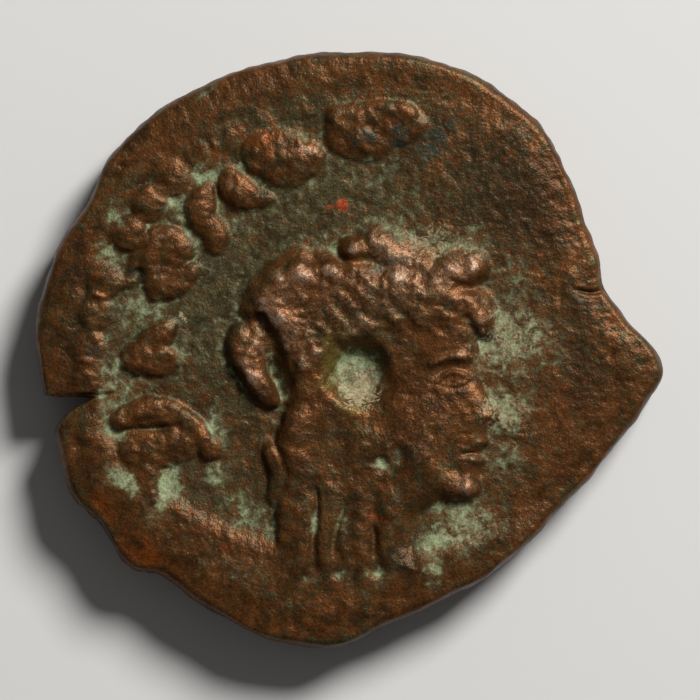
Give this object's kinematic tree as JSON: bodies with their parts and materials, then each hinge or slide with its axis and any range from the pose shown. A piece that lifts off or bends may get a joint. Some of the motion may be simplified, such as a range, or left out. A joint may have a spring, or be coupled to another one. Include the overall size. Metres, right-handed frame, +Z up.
{
  "type": "struck bronze coin",
  "caption": "Worn struck bronze coin on an irregular, edge-split flan: a head in profile and border strokes on the obverse, a star on the reverse.",
  "frame": {"origin": "on the resting plane, under the middle of the outline", "axes": "+Z up out of the obverse, +Y towards the crown of the head, +X the way the head faces"},
  "size_m": [0.0208, 0.0198, 0.0028],
  "materials": {
    "bronze": "worn copper brown with pale green patina in the hollows"
  },
  "bodies": {
    "root": {"coin": "bronze"}
  },
  "joints": []
}
